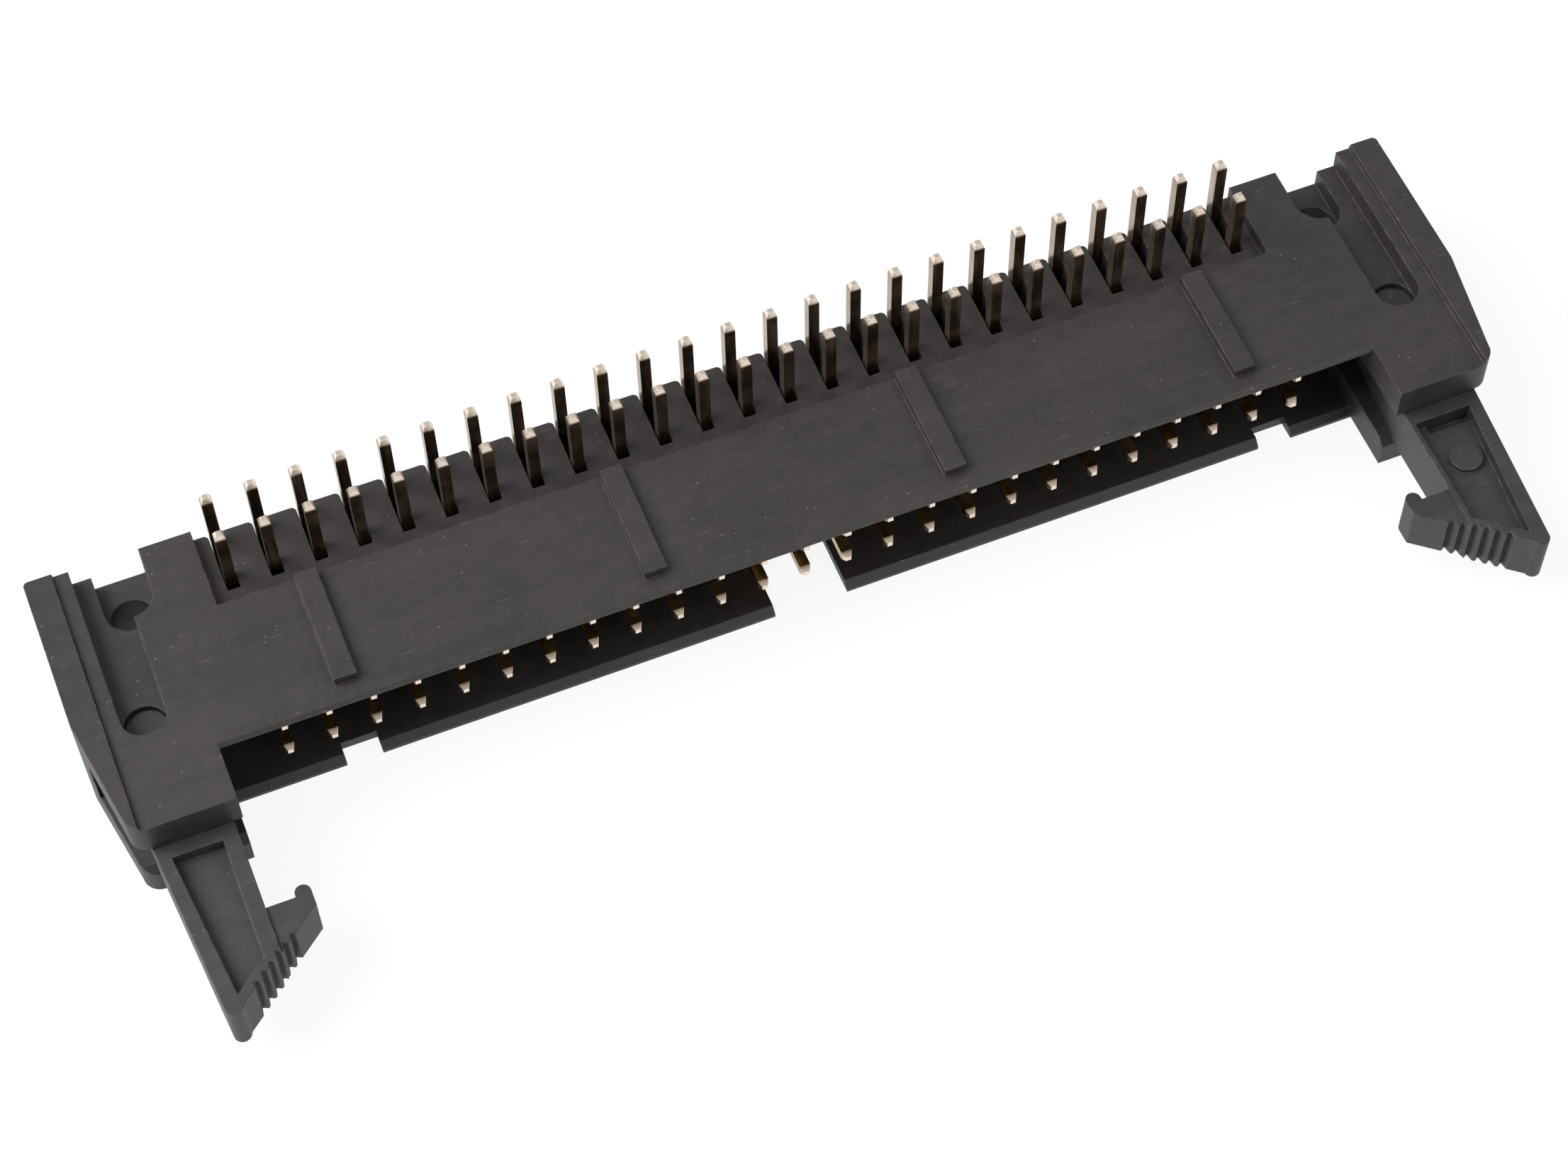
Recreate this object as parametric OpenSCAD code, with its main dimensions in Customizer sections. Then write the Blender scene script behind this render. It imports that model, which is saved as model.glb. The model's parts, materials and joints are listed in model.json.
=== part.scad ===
// Right-angle box header for ribbon cable, with an ejector latch at each end.
// Rest pose: latches closed, on the flat outer face of the lower wall.
// Origin: middle of the length, front row of tails, resting face. Mouth towards -Y, tails up.

/* [Contacts] */
// Number of contact columns
columns = 25; // [5:1:32]
// Distance between neighbouring columns
column_pitch = 2.54; // [2:0.01:5.08]
// Distance between the two rows of posts
row_pitch = 2.54; // [2.2:0.01:3]
// Distance between the two rows of tails
tail_pitch = 2.54; // [2.3:0.01:3.81]
// Side of the square contact wire
wire = 0.64; // [0.5:0.01:0.8]
// Outer radius of the bend in a contact
bend_radius = 1.1; // [0.8:0.05:1.4]
// Length of the taper at both ends of a contact
tip_length = 0.35; // [0.1:0.05:0.6]
// How far each side draws in at a contact's ends
tip_inset = 0.16; // [0.05:0.01:0.25]
// Free length of the mating posts in front of the contact floor
post_length = 6.15; // [4:0.05:8]
// Length of the tails above the board seat
tail_length = 3; // [2:0.1:4.5]

/* [Housing walls] */
// Thickness of the lower wall, which has the polarizing slot
lower_wall = 0.65; // [0.5:0.05:1.5]
// Height of the cavity
cavity_height = 6.1; // [5.6:0.05:7]
// Thickness of the upper wall, on the board side
upper_wall = 0.95; // [0.7:0.05:1.5]
// From the last contact column to the end of the cavity
cavity_margin = 3.72; // [3.3:0.02:6]
// From the front row of tails to the mating edge of the upper wall
mouth_reach = 10.5; // [9:0.1:14]
// How far the lower wall stands back from the upper one
lower_setback = 0.75; // [0:0.05:1.5]
// Rounded-off edge of the upper wall at the mouth
upper_bevel = 0.2; // [0.05:0.05:0.4]
// Lead-in chamfer inside the upper wall's edge
upper_lead_in = 0.65; // [0.1:0.05:0.7]
// Lead-in chamfer inside the lower wall's edge
lead_in = 0.4; // [0.1:0.05:0.5]
// Thickness of the floor that holds the contacts
floor_thickness = 2.25; // [1.5:0.05:3.5]

/* [Keying] */
// Width of the polarizing slot
key_width = 4.4; // [3.5:0.1:6]
// Width of the two notches in the lower wall's edge
notch_width = 2.1; // [1.5:0.1:2.4]
// Depth of the notches
notch_depth = 1.1; // [0.5:0.1:2]
// Column after which the left notch lies
notch_left_after = 2; // [1:1:10]
// Columns between the right notch and the right end
notch_right_before = 1; // [1:1:10]

/* [Comb] */
// Cover of the comb's teeth behind the rear tails
comb_cover = 0.3; // [0.05:0.05:1]
// From the front row of tails back to the closed end of each slot
comb_lead = 0.75; // [0.7:0.05:1.2]
// Clearance beside a contact in its slot
comb_clearance = 0.055; // [0.02:0.005:0.15]
// Clearance below a contact in its slot
comb_floor_clearance = 0.12; // [0.05:0.01:0.3]
// Radius on the rear corners of the comb's teeth
tooth_radius = 0.3; // [0.1:0.05:0.5]
// How far the comb's ledge lies below the upper wall
ledge_drop = 0.9; // [0.4:0.05:1.5]
// From the front row of tails forward to the ledge's step
ledge_reach = 2; // [1.2:0.1:4]
// Length of the ledge past the last contact column
ledge_margin = 1.22; // [0.8:0.02:2]

/* [Standoffs] */
// Height of the strips that rest on the board
standoff_height = 0.6; // [0.3:0.05:1]
// Width of a strip
standoff_width = 1.3; // [1:0.1:2.5]
// From the mating edge back to the strips
standoff_setback = 1.2; // [0.4:0.1:2]
// Columns between the two inner strips
standoff_inner_span = 7; // [3:2:9]
// Columns between the two outer strips
standoff_outer_span = 21; // [5:2:21]

/* [Ears] */
// Length of an ear along the header
ear_width = 7; // [6.8:0.1:9]
// How far the upper plate stands out past the mating edge
ear_reach = 3.4; // [2.5:0.1:5]
// How far the lower plate ends behind the upper one
ear_lower_setback = 0.6; // [0:0.1:1.2]
// Draw-in of the ear's outer side at the front
ear_taper = 1; // [0:0.1:1.5]
// Where the draw-in starts, behind the pivot's line
ear_taper_lead = 0.6; // [0:0.1:2]
// Radius of the ear's front corner
ear_corner = 1; // [0.3:0.1:1.2]
// Radius of the ear's rear corner
ear_rear_corner = 0.3; // [0.2:0.1:1]
// Width of the raised strip along the ear's outer side
strip_width = 1.7; // [1:0.05:2.2]
// Draft of the strip's inner flank
strip_draft = 0.1; // [0:0.05:0.3]
// Height of the raised strip
strip_height = 0.3; // [0.1:0.05:0.5]
// Chamfer on the lower plate's front edge
ear_chamfer = 0.5; // [0.1:0.1:1]
// Depth of the pivot channels in both faces of the ear
channel_depth = 1.25; // [0.8:0.05:1.4]
// Width of the pivot channels
channel_width = 2.55; // [2.5:0.05:2.8]
// Width of the screw wells in both faces of the ear
well_width = 2.9; // [2.8:0.05:3.4]
// Depth of the screw well in the ear's board side
well_depth = 2.4; // [1.5:0.1:3]
// Depth of the screw well in the ear's underside
under_well_depth = 1.8; // [1.4:0.1:2]

/* [Screw holes] */
// Diameter of the screw hole through the ear
screw_hole = 2.5; // [2:0.1:3.2]
// From the pivot's line inward to the screw hole
screw_offset = 1.25; // [0.8:0.05:1.6]
// From the front row of tails back to the screw hole
screw_setback = 0.45; // [0:0.05:1]

/* [Latches] */
// Thickness of a latch
latch_thickness = 3.3; // [2.8:0.05:3.4]
// Clearance between a latch and each plate of the ear
latch_clearance = 0.1; // [0.05:0.01:0.2]
// From the cavity's end out to the pivot
pivot_offset = 3.2; // [3:0.1:4]
// From the front row of tails forward to the pivot
pivot_reach = 7.1; // [6:0.1:8]
// Diameter of the pivot pins on a latch
pin_diameter = 2.4; // [1.8:0.1:2.4]
// Clearance round the pivot pins
pin_clearance = 0.05; // [0.02:0.01:0.1]
// How far a pivot pin stands out of the latch
pin_length = 0.6; // [0.4:0.05:0.8]
// Radius of the boss round the pivot
boss_radius = 2; // [1.6:0.1:2.1]
// Clearance between the boss or toe and the ear
boss_clearance = 0.2; // [0.1:0.05:0.4]
// Reach of the ejector toe past the pivot into the cavity
toe_reach = 4.2; // [3.6:0.1:4.4]
// Thickness of the toe at its end
toe_thickness = 1.3; // [0.8:0.1:2]
// Length of a latch in front of the pivot
latch_reach = 17.65; // [16:0.05:22]
// Width of a latch where it leaves the ear
latch_width = 4.7; // [3.8:0.1:4.8]
// From the pivot forward to where a latch's outer side draws in
latch_straight = 4.5; // [3:0.1:8]
// Draw-in of a latch's outer side towards its end
latch_taper = 1; // [0.5:0.1:1.5]
// Radius at the latch's end
latch_tip_radius = 0.5; // [0.2:0.1:0.8]
// From the pivot forward to the hook
hook_reach = 12.25; // [11:0.05:14]
// How far the hook stands in from the latch's inner side
hook_length = 2.55; // [2:0.05:3]
// Thickness of the hook at its nose
hook_nose = 0.75; // [0.5:0.05:1.5]
// Height of the small lip at the nose of the hook
hook_lip = 0.6; // [0.5:0.05:0.8]
// How far the hook's faces lie below those of the arm
hook_step = 0.2; // [0.1:0.05:0.5]
// Width of the lip
hook_lip_width = 0.9; // [0.5:0.05:1.1]
// Angle at which a latch is fully open
latch_open_angle = 32; // [20:1:34]
// From the pivot forward to where the ear's slot opens sideways
slot_side_reach = 0.9; // [0.5:0.1:2]

/* [Thumb grip] */
// Number of ribs
rib_count = 5; // [3:1:6]
// Distance between the ribs
rib_pitch = 0.65; // [0.5:0.05:0.7]
// Depth of the grooves between the ribs
rib_depth = 0.3; // [0.1:0.05:0.4]
// From the end of the grip's slope to the nearest groove
rib_end = 1.55; // [0.6:0.05:2]

/* [Latch pockets] */
// Depth of the pockets in both faces of a latch
pocket_depth = 0.8; // [0.3:0.05:1.2]
// Rim left outside the pockets
pocket_outer_rim = 0.75; // [0.5:0.05:1]
// Inner rim on the face with the disc
pocket_thin_rim = 0.3; // [0.3:0.05:0.6]
// Inner rim on the plain face
pocket_wide_rim = 0.9; // [0.6:0.05:1.2]
// From the pivot forward to the pockets
pocket_lead = 7.65; // [7:0.05:9]
// Rim left between the pockets and the thumb grip
pocket_grip_rim = 0.6; // [0.5:0.1:1.2]
// Radius of the disc in the pocket
disc_radius = 0.95; // [0.5:0.05:1.2]
// How far the disc stands up from the pocket's floor
disc_height = 0.3; // [0.1:0.05:1]
// From the pivot forward to the disc
disc_reach = 10.45; // [9:0.1:12]
// From the pivot's line inward to the disc
disc_offset = 0.55; // [0:0.05:1]
// Inner rim beside the deep slit at the back of the pocket
slit_inner_rim = 1.1; // [0.4:0.1:2]
// Length of the deep slit at the back of the pocket
slit_length = 0.5; // [0.3:0.05:1]
// Extra depth of the slit
slit_depth = 0.4; // [0.1:0.05:0.6]

/* [Hidden] */
$fn = 48;
eps = 0.05;
plastic = [0.16, 0.16, 0.17];
latch_plastic = [0.2, 0.2, 0.21];
metal = [0.78, 0.68, 0.42];

last_column = (columns - 1) * column_pitch / 2;
cavity_half = last_column + cavity_margin;
header_half = cavity_half + ear_width;
wall_top = lower_wall + cavity_height + upper_wall;
cavity_top = lower_wall + cavity_height;
ledge_top = wall_top - ledge_drop;
seat_top = wall_top + standoff_height;
tail_top = seat_top + tail_length;
middle = wall_top / 2;
lower_row = lower_wall + cavity_height / 2 - row_pitch / 2;
upper_row = lower_row + row_pitch;

mouth = -mouth_reach;
lower_mouth = mouth + lower_setback;
floor_back = -comb_lead;
floor_front = floor_back - floor_thickness;
post_tip = floor_front - post_length;
rear = tail_pitch + wire / 2 + comb_cover;
comb_slot = wire + 2 * comb_clearance;
comb_floor = lower_row - wire / 2 - comb_floor_clearance;
ledge_half = last_column + ledge_margin;
ledge_front = -ledge_reach;

slot_low = middle - latch_thickness / 2 - latch_clearance;
slot_high = middle + latch_thickness / 2 + latch_clearance;
latch_low = middle - latch_thickness / 2;
latch_high = middle + latch_thickness / 2;
pivot_x = cavity_half + pivot_offset;
pivot_y = -pivot_reach;
screw_x = pivot_x - screw_offset;
ear_front = mouth - ear_reach;
ear_lower_front = ear_front + ear_lower_setback;
ear_tip = header_half - ear_taper;
strip_x = header_half - strip_width;
channel_floor = wall_top - channel_depth;
well_floor = wall_top - well_depth;

boss_room = boss_radius + boss_clearance;
toe_back = floor_front - boss_clearance - pivot_y;
toe_room = floor_front - pivot_y;
shoulder_angle = 47;
latch_inner = boss_radius - latch_width;
latch_tip_x = boss_radius - latch_taper;
tip_flat = latch_tip_x - latch_tip_radius;
nose_x = latch_inner - hook_length;
nose_y = -hook_reach - hook_nose;
grip_angle = atan2(latch_reach - hook_reach - hook_nose, tip_flat - nose_x);
grip_length = (tip_flat - nose_x) / cos(grip_angle);
rib_start = grip_length - rib_end - (rib_count + 1) * rib_pitch;

// One of the node names, or all of them together

housing();
latch_left();
latch_right();
for (i = [1 : columns]) {
    contact_upper(i);
    contact_lower(i);
}

function contact_name(row, i) = str("contact_", row, "_", i < 10 ? "0" : "", i);
function column_x(i) = (i - 1) * column_pitch - last_column;

// Where the sloping shoulder of a toe meets depth y, for a boss of radius r
function shoulder_x(r, y) = r * cos(shoulder_angle) - (y - r * sin(shoulder_angle)) * tan(shoulder_angle);

// Front slope of a latch, from the hook's nose to the latch's end
function slope_y(x) = nose_y - (x - nose_x) * tan(grip_angle);

// Outer side of a latch in front of the pivot, drawn in towards its end
function outer_x(y) = boss_radius - latch_taper * (-y - latch_straight) / (latch_reach - latch_straight);

// Outer side of a fully open latch, at distance x outward from the pivot
function open_y(x) =
    boss_radius * sin(latch_open_angle)
    - (x - boss_radius * cos(latch_open_angle)) / tan(latch_open_angle);

// Box between two x, two y and two z values
module block(x, y, z) {
    translate([x[0], y[0], z[0]])
        cube([x[1] - x[0], y[1] - y[0], z[1] - z[0]]);
}

// Profile drawn in Y and Z, drawn out along X from one value to another
module along_x(x) {
    translate([x[0], 0, 0])
        rotate([90, 0, 90])
            linear_extrude(height = x[1] - x[0])
                children();
}

// ---- housing ----

module housing() {
    color(plastic)
        difference() {
            housing_blank();
            cavity();
            mouth_cuts();
            comb();
            for (i = [1 : columns]) post_holes(i);
            for (side = [0, 1]) mirror([side, 0, 0]) ear_cuts();
        }
}

// Solid outline of the housing: lower half, upper half, strips on the board side
module housing_blank() {
    linear_extrude(height = middle)
        housing_plan(lower_mouth, ear_lower_front);
    translate([0, 0, middle])
        linear_extrude(height = wall_top - middle)
            housing_plan(mouth, ear_front);
    for (side = [0, 1]) mirror([side, 0, 0]) ear_strip();
    standoffs();
}

module housing_plan(front, ears_front) {
    translate([-cavity_half, front])
        square([2 * cavity_half, rear - front]);
    for (side = [0, 1]) mirror([side, 0, 0]) ear_plan(ears_front);
}

module ear_plan(front) {
    polygon([
        [cavity_half, rear],
        [header_half - ear_rear_corner, rear],
        [header_half, rear - ear_rear_corner],
        [header_half, pivot_y + ear_taper_lead],
        [ear_tip, front + ear_corner],
        [ear_tip - ear_corner, front],
        [cavity_half, front],
    ]);
    translate([header_half - ear_rear_corner, rear - ear_rear_corner])
        circle(r = ear_rear_corner);
    translate([ear_tip - ear_corner, front + ear_corner])
        circle(r = ear_corner);
}

// Raised strip along an ear's outer side, with a sloping inner flank
module ear_strip() {
    difference() {
        translate([0, 0, middle])
            linear_extrude(height = wall_top + strip_height - middle)
                ear_plan(ear_front);
        translate([0, rear + eps, 0])
            rotate([90, 0, 0])
                linear_extrude(height = rear - ear_front + 2 * eps)
                    polygon([
                        [cavity_half - eps, middle - eps],
                        [strip_x, middle - eps],
                        [strip_x, wall_top],
                        [strip_x + strip_draft, wall_top + strip_height + eps],
                        [cavity_half - eps, wall_top + strip_height + eps],
                    ]);
    }
}

module standoffs() {
    for (span = [standoff_inner_span, standoff_outer_span])
        for (side = [-1, 1])
            translate([side * span * column_pitch / 2, 0, 0])
                block(
                    [-standoff_width / 2, standoff_width / 2],
                    [mouth + standoff_setback, ledge_front],
                    [middle + upper_wall, seat_top]
                );
}

module cavity() {
    block([-cavity_half, cavity_half], [ear_front - eps, floor_front], [lower_wall, cavity_top]);
}

// Polarizing slot, notches, lead-in chamfers and bevel along the mouth
module mouth_cuts() {
    block([-key_width / 2, key_width / 2], [lower_mouth - eps, floor_front], [-eps, lower_wall + eps]);
    for (x = [
        (notch_left_after - 0.5) * column_pitch - last_column,
        last_column - (notch_right_before - 0.5) * column_pitch,
    ])
        translate([x, 0, 0])
            block(
                [-notch_width / 2, notch_width / 2],
                [lower_mouth - eps, lower_mouth + notch_depth],
                [-eps, lower_wall + eps]
            );
    along_x([-cavity_half, cavity_half])
        polygon([
            [lower_mouth - eps, lower_wall + eps],
            [lower_mouth - eps, lower_wall - lead_in - eps],
            [lower_mouth + lead_in + eps, lower_wall + eps],
        ]);
    along_x([-cavity_half, cavity_half])
        polygon([
            [mouth - eps, cavity_top - eps],
            [mouth - eps, cavity_top + upper_lead_in + eps],
            [mouth + upper_lead_in + eps, cavity_top - eps],
        ]);
    along_x([-cavity_half, cavity_half])
        polygon([
            [mouth - eps, wall_top + eps],
            [mouth - eps, wall_top - upper_bevel - eps],
            [mouth + upper_bevel + eps, wall_top + eps],
        ]);
}

// Lowered ledge and the slots between the comb's teeth
module comb() {
    block([-ledge_half, ledge_half], [ledge_front, rear + eps], [ledge_top, wall_top + eps]);
    for (i = [1 : columns])
        translate([column_x(i), 0, comb_floor])
            linear_extrude(height = wall_top - comb_floor)
                comb_slot_plan();
}

// One slot, flared at the rear so that the teeth have rounded corners
module comb_slot_plan() {
    translate([-comb_slot / 2, floor_back])
        square([comb_slot, rear + eps - floor_back]);
    difference() {
        translate([-comb_slot / 2 - tooth_radius, rear - tooth_radius])
            square([comb_slot + 2 * tooth_radius, tooth_radius + eps]);
        for (side = [-1, 1])
            translate([side * (comb_slot / 2 + tooth_radius), rear - tooth_radius])
                circle(r = tooth_radius, $fn = 24);
    }
}

module post_holes(i) {
    for (z = [lower_row, upper_row])
        translate([column_x(i), 0, z])
            block(
                [-wire / 2, wire / 2],
                [floor_front - eps, floor_back + eps],
                [-wire / 2, wire / 2]
            );
}

module ear_cuts() {
    translate([pivot_x, pivot_y, 0]) {
        translate([0, 0, slot_low])
            linear_extrude(height = slot_high - slot_low)
                latch_slot_plan();
        translate([0, 0, -eps])
            cylinder(d = pin_diameter + 2 * pin_clearance, h = wall_top + 2 * eps);
        translate([0, 0, channel_floor])
            linear_extrude(height = channel_depth + strip_height + eps)
                keyhole_plan(channel_width / 2, rear - pivot_y + eps);
        translate([0, 0, -eps])
            linear_extrude(height = channel_depth + eps)
                keyhole_plan(channel_width / 2, rear - pivot_y + eps);
    }
    translate([screw_x, screw_setback, well_floor])
        linear_extrude(height = well_depth + strip_height + eps)
            keyhole_plan(well_width / 2, rear - screw_setback + eps);
    translate([screw_x, screw_setback, -eps])
        linear_extrude(height = under_well_depth + eps)
            keyhole_plan(well_width / 2, rear - screw_setback + eps);
    translate([screw_x, screw_setback, -eps])
        cylinder(d = screw_hole, h = wall_top);
    along_x([cavity_half - eps, header_half])
        polygon([
            [ear_lower_front - eps, slot_low + eps],
            [ear_lower_front - eps, slot_low - ear_chamfer - eps],
            [ear_lower_front + ear_chamfer + eps, slot_low + eps],
        ]);
}

// Round front end with a straight run to the rear
module keyhole_plan(r, length) {
    circle(r = r);
    translate([-r, 0])
        square([2 * r, length]);
}

// Room for a latch in an ear, measured from the pivot
module latch_slot_plan() {
    far_out = header_half - pivot_x + eps;
    circle(r = boss_room);
    polygon([
        [-pivot_offset - eps, toe_room],
        [shoulder_x(boss_room, toe_room), toe_room],
        [boss_room * cos(shoulder_angle), boss_room * sin(shoulder_angle)],
        [boss_room, open_y(boss_room) + boss_clearance],
        [far_out, -slot_side_reach],
        [far_out, ear_front - pivot_y - eps],
        [-pivot_offset - eps, ear_front - pivot_y - eps],
    ]);
}

// ---- latches ----

module latch_left() {
    translate([-pivot_x, pivot_y, middle])
        rotate([0, 180, 0])
            latch();
}

module latch_right() {
    translate([pivot_x, pivot_y, middle])
        latch();
}

// A latch about its pivot, lying flat, outer side towards +X
module latch() {
    color(latch_plastic)
        difference() {
            union() {
                translate([0, 0, -latch_thickness / 2])
                    linear_extrude(height = latch_thickness)
                        latch_plan();
                cylinder(d = pin_diameter, h = latch_thickness + 2 * pin_length, center = true);
            }
            grip_grooves();
            for (side = [0, 1]) mirror([0, 0, side]) hook_relief();
            disc_pocket();
            mirror([0, 0, 1])
                pocket(pocket_wide_rim, pocket_depth);
        }
}

module latch_plan() {
    circle(r = boss_radius);
    translate([tip_flat, -latch_reach + latch_tip_radius])
        circle(r = latch_tip_radius);
    translate([nose_x + hook_lip_width / 2, hook_lip - hook_reach - hook_lip_width / 2])
        circle(d = hook_lip_width);
    polygon([
        [-boss_radius, 0],
        [boss_radius, 0],
        [boss_radius, -latch_straight],
        [latch_tip_x, -latch_reach + latch_tip_radius],
        [tip_flat, -latch_reach],
        [nose_x, nose_y],
        [nose_x, hook_lip - hook_reach - hook_lip_width / 2],
        [nose_x + hook_lip_width, hook_lip - hook_reach - hook_lip_width / 2],
        [nose_x + hook_lip_width, -hook_reach],
        [latch_inner, -hook_reach],
        [latch_inner, ear_front - pivot_y],
    ]);
    polygon([
        [-toe_reach, toe_back],
        [-toe_reach, toe_back - toe_thickness],
        [-boss_radius, 0],
        [boss_radius * cos(shoulder_angle), boss_radius * sin(shoulder_angle)],
        [shoulder_x(boss_radius, toe_back), toe_back],
    ]);
}

// Slightly lowered face of the hook, inside the arm
module hook_relief() {
    block(
        [nose_x - eps, latch_inner],
        [-latch_reach, hook_lip - hook_reach + eps],
        [latch_thickness / 2 - hook_step, latch_thickness / 2 + eps]
    );
}

// Saw-tooth grooves across the front slope
module grip_grooves() {
    translate([nose_x, nose_y, -latch_thickness / 2 - eps])
        rotate([0, 0, -grip_angle])
            for (i = [0 : rib_count])
                translate([rib_start + i * rib_pitch, 0, 0])
                    linear_extrude(height = latch_thickness + 2 * eps)
                        polygon([
                            [0, -eps],
                            [rib_pitch / 4, rib_depth],
                            [rib_pitch * 7 / 8, -eps],
                        ]);
}

// Pocket with a raised disc and a deeper slit along its back
module disc_pocket() {
    difference() {
        pocket(pocket_thin_rim, pocket_depth);
        translate([-disc_offset, -disc_reach, 0])
            cylinder(r = disc_radius, h = latch_thickness / 2 - pocket_depth + disc_height);
    }
    intersection() {
        pocket(slit_inner_rim, pocket_depth + slit_depth);
        translate([0, -pocket_lead, 0])
            block([latch_inner, boss_radius], [-slit_length, eps], [0, latch_thickness]);
    }
}

// Pocket in a latch's upper face, with the given inner rim
module pocket(rim, depth) {
    inner = latch_inner + rim;
    back_x = outer_x(-pocket_lead) - pocket_outer_rim;
    front_x = tip_flat - pocket_outer_rim / 2;
    grip_rim = pocket_grip_rim / cos(grip_angle);
    translate([0, 0, latch_thickness / 2 - depth])
        linear_extrude(height = depth + eps)
            polygon([
                [inner, -pocket_lead],
                [back_x, -pocket_lead],
                [front_x, slope_y(front_x) + grip_rim],
                [inner, slope_y(inner) + grip_rim],
            ]);
}

// ---- contacts ----

module contact_upper(i) {
    translate([column_x(i), 0, 0])
        contact(upper_row, 0);
}

module contact_lower(i) {
    translate([column_x(i), 0, 0])
        contact(lower_row, tail_pitch);
}

// Bent square wire: post forward at height row_z, tail upward at depth tail_y
module contact(row_z, tail_y) {
    color(metal)
        difference() {
            along_x([-wire / 2, wire / 2])
                contact_profile(row_z, tail_y);
            translate([0, tail_y, tail_top])
                tip_cuts();
            translate([0, post_tip, row_z])
                rotate([90, 0, 0])
                    tip_cuts();
        }
}

module contact_profile(row_z, tail_y) {
    bend_y = tail_y + wire / 2 - bend_radius;
    bend_z = row_z - wire / 2 + bend_radius;
    translate([post_tip, row_z])
        rotate(90)
            wire_plan(bend_y - post_tip);
    translate([tail_y, tail_top])
        wire_plan(tail_top - bend_z);
    difference() {
        intersection() {
            translate([bend_y, bend_z])
                circle(r = bend_radius);
            translate([bend_y, bend_z - bend_radius])
                square(bend_radius);
        }
        translate([bend_y, bend_z])
            circle(r = bend_radius - wire);
    }
}

// Straight wire hanging from the origin, with a tapered end at the top
module wire_plan(length) {
    polygon([
        [-wire / 2, -length],
        [wire / 2, -length],
        [wire / 2, -tip_length],
        [wire / 2 - tip_inset, 0],
        [tip_inset - wire / 2, 0],
        [-wire / 2, -tip_length],
    ]);
}

// The two tapers on the other sides of a tip that points up at the origin
module tip_cuts() {
    over = tip_inset * eps / tip_length;
    for (side = [0, 1])
        mirror([side, 0, 0])
            rotate([90, 0, 0])
                linear_extrude(height = 2 * wire, center = true)
                    polygon([
                        [wire / 2 + over, -tip_length - eps],
                        [wire, -tip_length - eps],
                        [wire, eps],
                        [wire / 2 - tip_inset - over, eps],
                    ]);
}
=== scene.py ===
import json
import math

import bpy
from mathutils import Matrix, Vector


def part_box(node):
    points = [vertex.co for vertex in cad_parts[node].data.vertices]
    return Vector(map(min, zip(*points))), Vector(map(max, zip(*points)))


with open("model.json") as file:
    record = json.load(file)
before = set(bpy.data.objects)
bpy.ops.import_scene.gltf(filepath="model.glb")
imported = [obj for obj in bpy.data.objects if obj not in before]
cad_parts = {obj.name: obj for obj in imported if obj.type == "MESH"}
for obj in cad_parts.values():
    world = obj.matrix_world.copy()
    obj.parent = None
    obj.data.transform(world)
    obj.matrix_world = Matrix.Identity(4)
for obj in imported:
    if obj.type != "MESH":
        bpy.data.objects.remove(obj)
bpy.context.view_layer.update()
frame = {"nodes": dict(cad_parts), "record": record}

# ---- sizes and levels, in metres unless a name says otherwise ----

# the tails start behind the floor, and their sheared ends (bare metal colour, lightened further
# as a painted highlight) this far above the seat
TAILS_FROM = -0.0012
TAIL_END_FROM = 0.00268

TABLE_HALF = 0.6
TABLE_GLOW = 0.9
ROOM_LEVEL = 0.55

CAMERA_PLACE = (-0.03846, -0.10687, 0.16739)
CAMERA_TURN, CAMERA_TILT, CAMERA_ROLL = (math.radians(a) for a in (-20.760, 57.758, -1.298))
LENS_MM = 79.6
SENSOR_MM = 36.0

# ---- shader maths ----


class Wire:
    """A socket that takes part in sums: each operator adds a Math node."""

    def __init__(self, nodes, socket):
        self.nodes = nodes
        self.socket = socket

    def _math(self, operation, *values):
        return self.nodes.node(
            "ShaderNodeMath", {"operation": operation}, dict(enumerate(values))
        ).out(0)

    def __add__(self, other):
        return self._math("ADD", self, other)

    __radd__ = __add__

    def __sub__(self, other):
        return self._math("SUBTRACT", self, other)

    def __rsub__(self, other):
        return self._math("SUBTRACT", other, self)

    def __mul__(self, other):
        return self._math("MULTIPLY", self, other)

    __rmul__ = __mul__

    def either(self, other):
        return self._math("MAXIMUM", self, other)

    def above(self, level, soft):
        """0 below level, 1 past level + soft, with a soft step between."""
        return self.nodes.node(
            "ShaderNodeMapRange",
            {"interpolation_type": "SMOOTHSTEP"},
            {"Value": self, "From Min": level, "From Max": level + soft},
        ).out(0)

    def below(self, level, soft):
        return 1 - self.above(level, soft)


class Step:
    """A node, with its outputs as wires."""

    def __init__(self, nodes, made):
        self.nodes = nodes
        self.made = made

    def out(self, key):
        return Wire(self.nodes, self.made.outputs[key])


class Nodes:
    """The nodes of a material or the room, and the one method that adds to them."""

    def __init__(self, owner):
        self.owner = owner
        owner.use_nodes = True
        self.tree = owner.node_tree
        self.tree.nodes.clear()

    def node(self, kind, settings=None, values=None):
        made = self.tree.nodes.new(kind)
        for key, value in (settings or {}).items():
            setattr(made, key, value)
        for key, value in (values or {}).items():
            socket = made.inputs[key]
            if isinstance(value, Wire):
                self.tree.links.new(value.socket, socket)
            else:
                socket.default_value = value
        return Step(self, made)

    def mix_shaders(self, factor, a, b):
        return self.node("ShaderNodeMixShader", None, {0: factor, 1: a, 2: b}).out(0)


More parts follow.
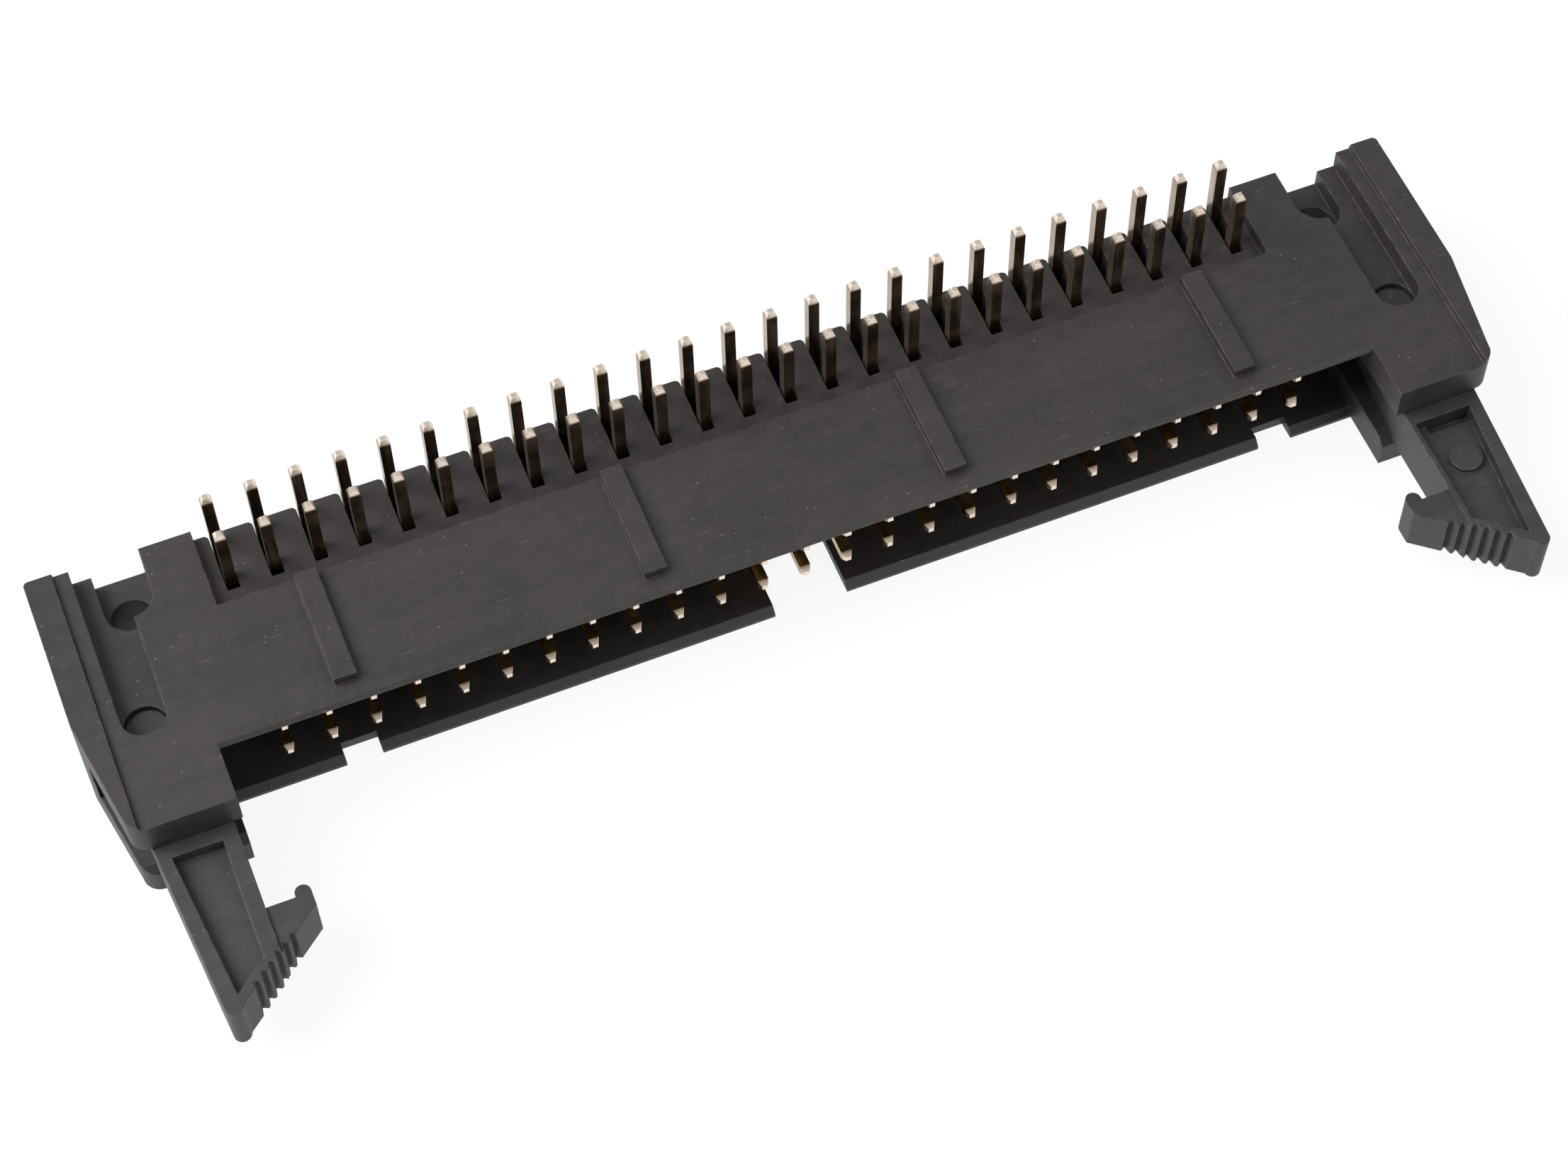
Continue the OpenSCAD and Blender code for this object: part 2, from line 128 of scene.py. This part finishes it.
class Finish(Nodes):
    """A material with the patterns that the object's finishes share."""

    def __init__(self, name):
        super().__init__(bpy.data.materials.new(name))

    def place(self):
        return self.node("ShaderNodeTexCoord").out("Object")

    def axis(self, vector, name):
        return self.node("ShaderNodeSeparateXYZ", None, {"Vector": vector}).out(name)

    def stretched(self, place, turn, scale):
        return self.node(
            "ShaderNodeMapping", None, {"Vector": place, "Rotation": turn, "Scale": scale}
        ).out("Vector")

    def noise(self, vector, scale, detail=2.0, rough=0.5):
        return self.node(
            "ShaderNodeTexNoise", None,
            {"Vector": vector, "Scale": scale, "Detail": detail, "Roughness": rough},
        ).out("Fac")

    def mix(self, factor, a, b):
        """Colour a where factor is 0 and colour b where it is 1."""
        return self.node(
            "ShaderNodeMix", {"data_type": "RGBA"}, {0: factor, 6: a, 7: b}
        ).out(2)

    def rounded(self, samples, radius):
        """The normal with edges rounded by radius."""
        return self.node(
            "ShaderNodeBevel", {"samples": samples}, {"Radius": radius}
        ).out("Normal")

    def face_normal(self):
        return self.node("ShaderNodeNewGeometry").out("Normal")

    def edge_wear(self, radius):
        """1 on a convex edge, 0 on a flat face, from the rounded and the plain normal."""
        same = self.node(
            "ShaderNodeVectorMath", {"operation": "DOT_PRODUCT"},
            {0: self.rounded(6, radius), 1: self.face_normal()},
        ).out("Value")
        return same.below(0.86, 0.12)

    def bumped(self, strength, distance, height, normal):
        return self.node(
            "ShaderNodeBump", None,
            {"Strength": strength, "Distance": distance, "Height": height, "Normal": normal},
        ).out("Normal")

    def surface(self, shader):
        self.node("ShaderNodeOutputMaterial", None, {"Surface": shader})
        return self.owner

    def shaded(self, values):
        return self.surface(
            self.node("ShaderNodeBsdfPrincipled", None, values).out("BSDF")
        )


def rgb(red, green, blue):
    return (red, green, blue, 1.0)


# ---- the object's finishes ----


def moulded_plastic(name, shade, dust, scratch_turns):
    """Dark moulded plastic: fine grain, cloudy flow marks, dust specks and hair scratches."""
    fin = Finish(name)
    place = fin.place()
    cloud = fin.noise(place, 110.0, 4.0, 0.6)
    mottle = fin.noise(place, 1400.0, 3.0, 0.6)
    grain = fin.noise(place, 5200.0, 2.0, 0.6)
    flow = fin.noise(fin.stretched(place, (0.0, 0.0, 0.3), (60.0, 420.0, 200.0)), 1.0, 4.0, 0.65)

    dark = rgb(*[s * 0.7 for s in shade])
    light = rgb(*[s * 1.3 for s in shade])
    uneven = (
        0.4 * cloud.above(0.3, 0.4) + 0.3 * flow.above(0.35, 0.3) + 0.3 * mottle.above(0.35, 0.3)
    )
    body = fin.mix(uneven, dark, light)
    wear = fin.edge_wear(0.0001) * mottle.above(0.4, 0.25)
    body = fin.mix(wear * 0.5, body, rgb(0.17, 0.13, 0.12))

    scratches = 0.0
    for turn in scratch_turns:
        strand = fin.stretched(place, (0.0, 0.0, turn), (420.0, 7000.0, 1600.0))
        scratches = fin.noise(strand, 1.0, 1.0).above(0.765, 0.02) + scratches
    body = fin.mix(scratches * 0.1, body, rgb(0.3, 0.28, 0.27))

    cells = fin.node("ShaderNodeTexVoronoi", {"feature": "F1"}, {"Vector": place, "Scale": dust})
    specks = cells.out("Distance").below(0.05, 0.06)
    dusty = fin.noise(place, 420.0, 1.0).above(0.52, 0.08)
    body = fin.mix(specks * dusty * 0.28, body, rgb(0.35, 0.31, 0.29))

    relief = grain + 0.6 * mottle + 0.4 * scratches
    return fin.shaded({
        "Base Color": body,
        "Roughness": 0.27 + 0.16 * cloud + 0.2 * flow + 0.12 * mottle - 0.08 * wear,
        "Normal": fin.bumped(0.22, 0.00003, relief, fin.rounded(6, 0.00008)),
        "Specular IOR Level": 0.5,
    })


def contact_metal(name, seat, post_front):
    """Gold-flashed posts in front, bronze tails behind with a painted highlight on their
    left-facing flanks, and bright sheared ends: bare metal colour, lightened further as a
    painted highlight.
    """
    fin = Finish(name)
    place = fin.place()
    height = fin.axis(place, "Z")
    depth = fin.axis(place, "Y")
    drawn = fin.noise(fin.stretched(place, (0.0, 0.0, 0.0), (2600.0, 2600.0, 260.0)), 1.0, 3.0)
    blotch = fin.noise(place, 700.0, 3.0)
    patchy = blotch.above(0.35, 0.35)

    bronze = fin.mix(patchy, rgb(0.13, 0.085, 0.055), rgb(0.30, 0.215, 0.15))
    gold = fin.mix(patchy, rgb(0.26, 0.16, 0.065), rgb(0.52, 0.36, 0.16))
    tail = depth.above(TAILS_FROM, 0.0004)
    colour = fin.mix(tail, gold, bronze)
    # painted highlight: tail faces that point to -X are lightened as if lit; this is not a
    # colour of the metal
    lit_left_flank = (0.0 - fin.axis(fin.face_normal(), "X")).above(0.6, 0.2) * tail
    colour = fin.mix(lit_left_flank * 0.35, colour, rgb(0.62, 0.52, 0.42))
    # sheared tail ends and post tips: bare metal colour, partly a painted highlight where the
    # ends catch the light
    bare_end_and_glint = height.above(seat + TAIL_END_FROM, 0.0001) + depth.below(post_front + 0.0001, 0.0003)
    colour = fin.mix(bare_end_and_glint * 0.9, colour, rgb(0.95, 0.82, 0.7))
    colour = fin.mix(drawn.above(0.55, 0.2) * 0.3, colour, rgb(0.8, 0.72, 0.6))
    return fin.shaded({
        "Base Color": colour,
        "Metallic": 0.95,
        "Roughness": 0.17 + 0.14 * drawn + 0.08 * blotch,
        "Normal": fin.bumped(0.15, 0.00002, drawn, fin.rounded(4, 0.00005)),
    })


mounts = {mount["name"]: mount for mount in frame["record"]["mounts"]}
seat_height = mounts["board_seat"]["pos_m"][2]
posts_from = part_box("contact_upper_01")[0].y

finishes = {
    "housing": moulded_plastic(
        "housing_plastic", (0.0250, 0.0207, 0.0205), 1500.0, (0.5, 1.2, 2.3)
    ),
    "latch": moulded_plastic("latch_plastic", (0.031, 0.027, 0.027), 1700.0, (0.9,)),
    "contact": contact_metal("contact_metal", seat_height, posts_from),
}
for name, solid in frame["nodes"].items():
    solid.data.materials.clear()
    solid.data.materials.append(finishes[name.split("_")[0]])

# ---- table, light and camera ----


def table_finish():
    """White to the eye and in gloss, with the object's faint shadow."""
    fin = Finish("table_white")
    sheet = fin.node("ShaderNodeBsdfDiffuse", None, {"Color": rgb(0.93, 0.93, 0.93)}).out("BSDF")
    bright = fin.node(
        "ShaderNodeEmission", None, {"Color": rgb(1.0, 1.0, 1.0), "Strength": 1.0}
    ).out("Emission")
    ray = fin.node("ShaderNodeLightPath")
    seen = ray.out("Is Camera Ray") + ray.out("Is Glossy Ray") + ray.out("Is Transmission Ray")
    return fin.surface(fin.mix_shaders(seen * TABLE_GLOW, sheet, bright))


def table():
    half = TABLE_HALF
    mesh = bpy.data.meshes.new("table")
    corners = [(-half, -half, 0.0), (half, -half, 0.0), (half, half, 0.0), (-half, half, 0.0)]
    mesh.from_pydata(corners, [], [(0, 1, 2, 3)])
    mesh.materials.append(table_finish())
    top = bpy.data.objects.new("table", mesh)
    bpy.context.scene.collection.objects.link(top)


def room():
    """Plain soft light from all round, white to the camera."""
    world = bpy.data.worlds.new("studio")
    nodes = Nodes(world)
    ray = nodes.node("ShaderNodeLightPath")
    seen = ray.out("Is Camera Ray").either(ray.out("Is Transmission Ray"))
    plain, white = (
        nodes.node(
            "ShaderNodeBackground", None, {"Color": rgb(1.0, 1.0, 1.0), "Strength": level}
        ).out("Background")
        for level in (ROOM_LEVEL, 1.0)
    )
    lit = nodes.mix_shaders(seen, plain, white)
    nodes.node("ShaderNodeOutputWorld", None, {"Surface": lit})
    bpy.context.scene.world = world


def soft_light(name, place, side, power):
    """A square lamp that faces the object."""
    lamp = bpy.data.lights.new(name, "AREA")
    lamp.shape = "RECTANGLE"
    lamp.size = lamp.size_y = side
    lamp.energy = power
    held = bpy.data.objects.new(name, lamp)
    held.location = place
    held.rotation_euler = (-Vector(place)).to_track_quat("-Z", "Y").to_euler()
    bpy.context.scene.collection.objects.link(held)


def camera():
    """Long lens from the mouth side, high above the table and a little to the left."""
    flat = math.cos(CAMERA_TILT)
    ahead = Vector(
        (-math.sin(CAMERA_TURN) * flat, math.cos(CAMERA_TURN) * flat, -math.sin(CAMERA_TILT))
    )
    right = ahead.cross(Vector((0.0, 0.0, 1.0))).normalized()
    up = right.cross(ahead)
    side = math.cos(CAMERA_ROLL) * right + math.sin(CAMERA_ROLL) * up
    top = math.cos(CAMERA_ROLL) * up - math.sin(CAMERA_ROLL) * right
    data = bpy.data.cameras.new("camera")
    data.sensor_width = SENSOR_MM
    data.lens = LENS_MM
    data.clip_start = 0.01
    data.clip_end = 10.0
    held = bpy.data.objects.new("camera", data)
    turned = Matrix((side, top, -ahead)).transposed().to_4x4()
    held.matrix_world = Matrix.Translation(CAMERA_PLACE) @ turned
    bpy.context.scene.collection.objects.link(held)
    bpy.context.scene.camera = held


room()
table()
soft_light("window", (-0.45, 0.1, 0.5), 0.5, 6.0)
soft_light("fill", (0.3, -0.5, 0.5), 0.4, 1.0)
camera()
bpy.context.scene.view_settings.view_transform = "Standard"
